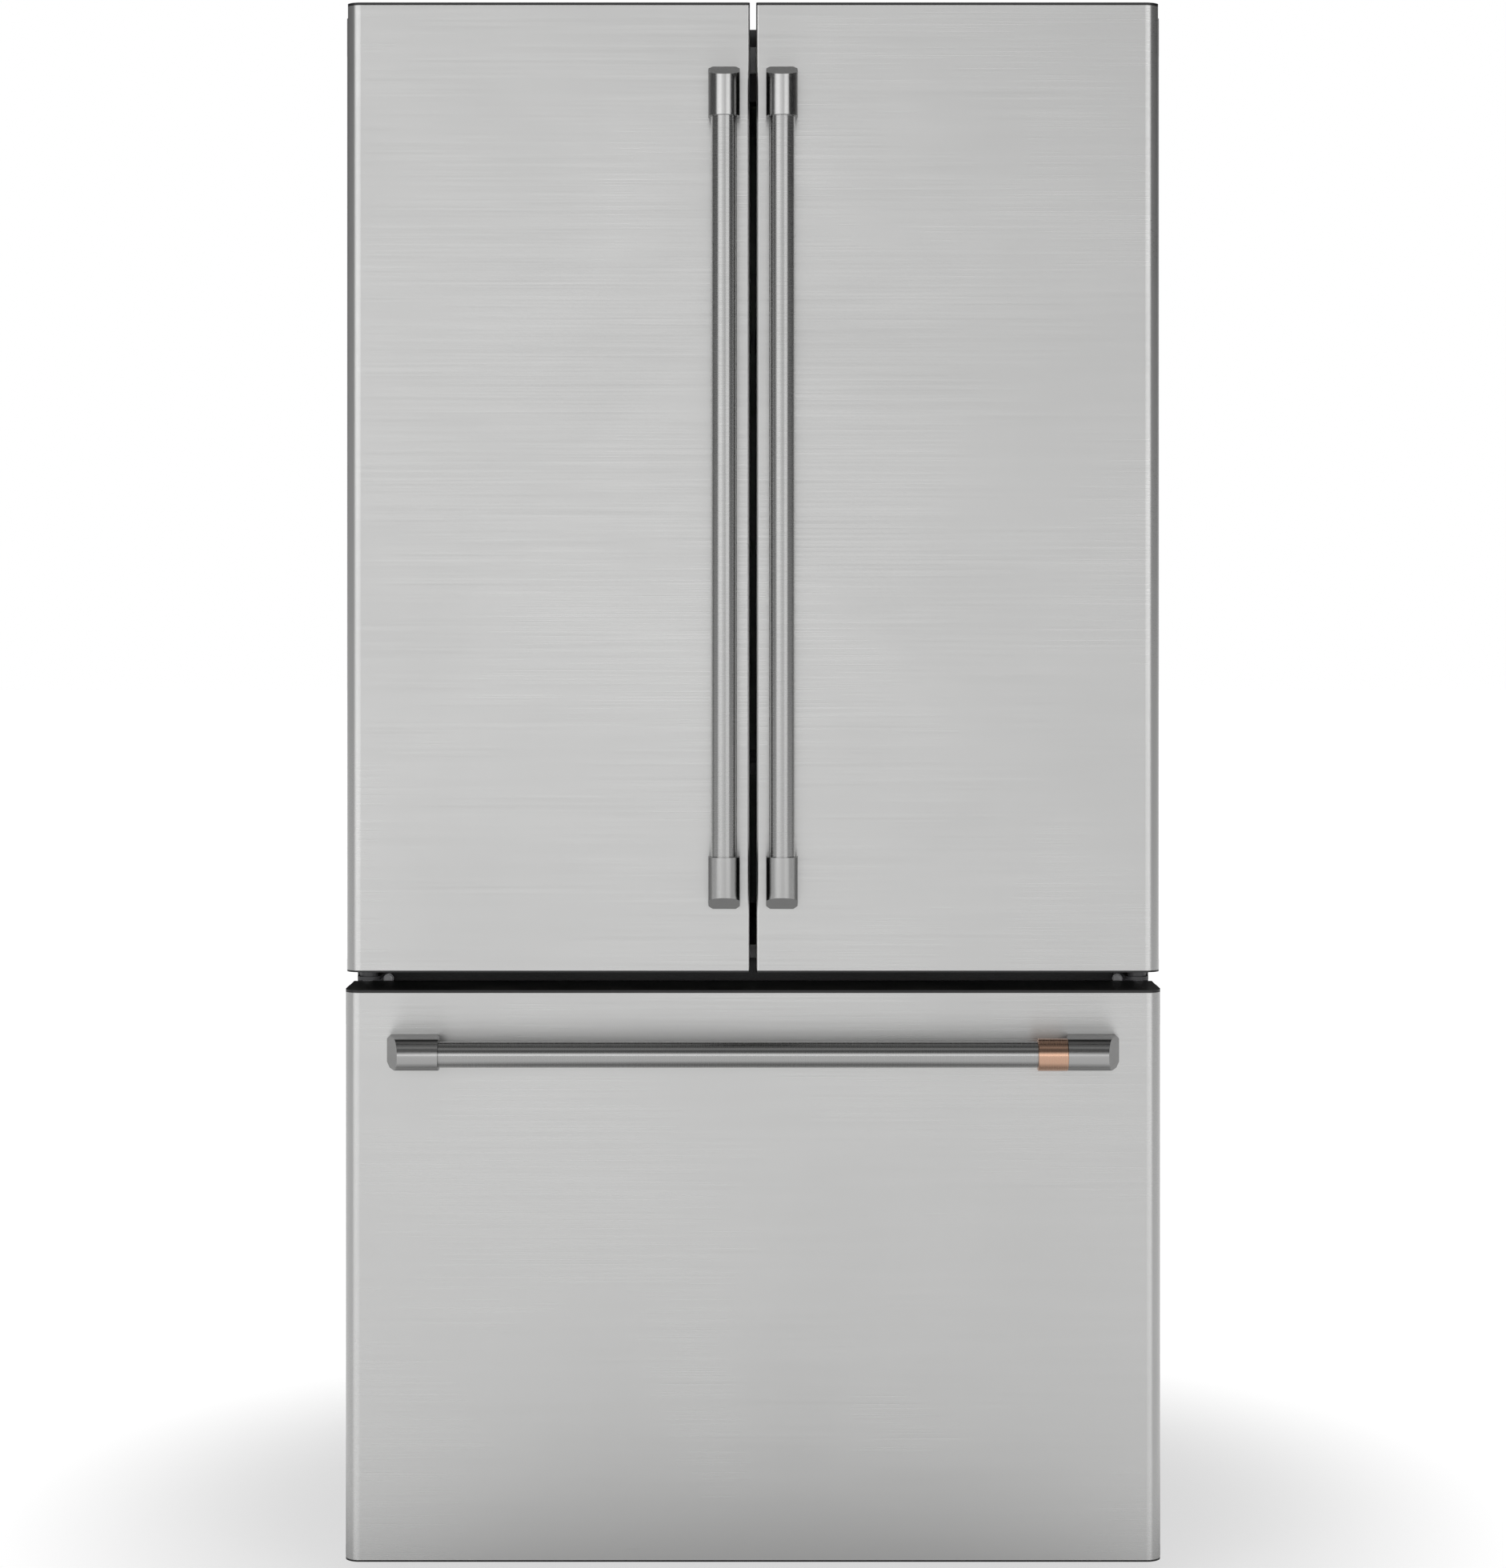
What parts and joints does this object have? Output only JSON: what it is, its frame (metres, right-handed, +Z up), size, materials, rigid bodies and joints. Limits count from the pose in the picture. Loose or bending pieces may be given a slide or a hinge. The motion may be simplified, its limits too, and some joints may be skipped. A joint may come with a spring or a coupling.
{
  "type": "french door refrigerator",
  "caption": "Counter-depth refrigerator with a pair of hinged doors over a full-width freezer drawer, brushed steel fronts and bar handles.",
  "frame": {"origin": "middle of the whole object's footprint, on the floor", "axes": "+Z up, -Y out of the front of the doors, +X to the right seen from the front"},
  "size_m": [0.914, 0.7924, 1.766],
  "materials": {
    "stainless": "horizontally brushed stainless steel",
    "copper_ring": "brushed copper plating",
    "black_plastic": "satin moulded",
    "grey_plastic": "satin moulded",
    "foam": "rigid foam",
    "gasket": "soft satin vinyl",
    "white_liner": "smooth formed sheet",
    "clear_plastic": "clear moulded",
    "case_paint": "fine textured paint",
    "galvanised": "zinc plated",
    "glass": "toughened",
    "light_lens": "frosted diffuser",
    "aluminium": "bare"
  },
  "bodies": {
    "cabinet": {"air_duct_cover": "white_liner", "back_panel": "galvanised", "base_pan": "galvanised", "cabinet_case": "case_paint", "centre_hinges": "case_paint", "compressor": "case_paint", "condenser_coil": "case_paint", "crisper_cover": "white_liner", "evaporator_coil": "aluminium", "evaporator_cover": "white_liner", "fan_motors": "grey_plastic", "fixed_runners": "galvanised", "flipper_guide": "grey_plastic", "freezer_liner": "white_liner", "fresh_food_liner": "white_liner", "hinge_covers": "black_plastic", "insulation": "foam", "interior_light": "light_lens", "levelling_legs": "galvanised", "partition_rail": "case_paint", "roller_axles": "galvanised", "shelf_frames": "white_liner", "shelf_panes": "glass", "shelf_tracks": "case_paint", "toe_grille": "black_plastic", "top_hinges": "case_paint"},
    "left_door": {"left_door_bins": "clear_plastic", "left_door_end_caps": "black_plastic", "left_door_foam": "foam", "left_door_gasket": "gasket", "left_door_handle_bar": "stainless", "left_door_handle_ends": "stainless", "left_door_liner": "white_liner", "left_door_skin": "stainless", "flipper_arms": "galvanised"},
    "right_door": {"right_door_bins": "clear_plastic", "right_door_end_caps": "black_plastic", "right_door_foam": "foam", "right_door_gasket": "gasket", "right_door_handle_bar": "stainless", "right_door_handle_ends": "stainless", "right_door_liner": "white_liner", "right_door_skin": "stainless"},
    "freezer_drawer": {"freezer_drawer_end_caps": "black_plastic", "freezer_drawer_foam": "foam", "freezer_drawer_gasket": "gasket", "freezer_drawer_handle_bar": "stainless", "freezer_drawer_handle_ends": "stainless", "freezer_drawer_liner": "white_liner", "freezer_drawer_skin": "stainless", "handle_ring": "copper_ring", "drawer_runners": "galvanised", "freezer_basket": "clear_plastic"},
    "middle_runners": {"middle_runners": "galvanised"},
    "flipper": {"flipper_bar": "grey_plastic"},
    "left_crisper": {"left_crisper": "clear_plastic"},
    "right_crisper": {"right_crisper": "clear_plastic"},
    "rear_rollers": {"rear_rollers": "black_plastic"},
    "evaporator_fan": {"evaporator_fan": "black_plastic"},
    "condenser_fan": {"condenser_fan": "black_plastic"}
  },
  "joints": [
    {"name": "left_door_hinge", "type": "hinge", "parent": "cabinet", "child": "left_door", "pos_m": [-0.432, -0.2938, 0.685], "axis": [0, 0, -1], "range_deg": [0, 120]},
    {"name": "right_door_hinge", "type": "hinge", "parent": "cabinet", "child": "right_door", "pos_m": [0.432, -0.2938, 0.685], "axis": [0, 0, 1], "range_deg": [0, 120]},
    {"name": "flipper_fold", "type": "hinge", "parent": "left_door", "child": "flipper", "pos_m": [-0.027, -0.2138, 0.717], "axis": [0, 0, -1], "range_deg": [0, 90]},
    {"name": "freezer_drawer_slide", "type": "slide", "parent": "cabinet", "child": "freezer_drawer", "axis": [0, -1, 0], "range_m": [0, 0.4]},
    {"name": "middle_runner_slide", "type": "slide", "parent": "cabinet", "child": "middle_runners", "axis": [0, -1, 0], "range_m": [0, 0.2]},
    {"name": "left_crisper_slide", "type": "slide", "parent": "cabinet", "child": "left_crisper", "axis": [0, -1, 0], "range_m": [0, 0.08]},
    {"name": "right_crisper_slide", "type": "slide", "parent": "cabinet", "child": "right_crisper", "axis": [0, -1, 0], "range_m": [0, 0.08]},
    {"name": "rear_roller_spin", "type": "hinge", "parent": "cabinet", "child": "rear_rollers", "pos_m": [0, 0.3362, 0.018], "axis": [1, 0, 0], "continuous": true},
    {"name": "evaporator_fan_spin", "type": "hinge", "parent": "cabinet", "child": "evaporator_fan", "pos_m": [0, 0.2852, 0.58], "axis": [0, -1, 0], "continuous": true},
    {"name": "condenser_fan_spin", "type": "hinge", "parent": "cabinet", "child": "condenser_fan", "pos_m": [0.121, 0.2762, 0.142], "axis": [1, 0, 0], "continuous": true}
  ],
  "couplings": [
    {"joint": "middle_runner_slide", "follows": "freezer_drawer_slide", "ratio": 0.5}
  ]
}
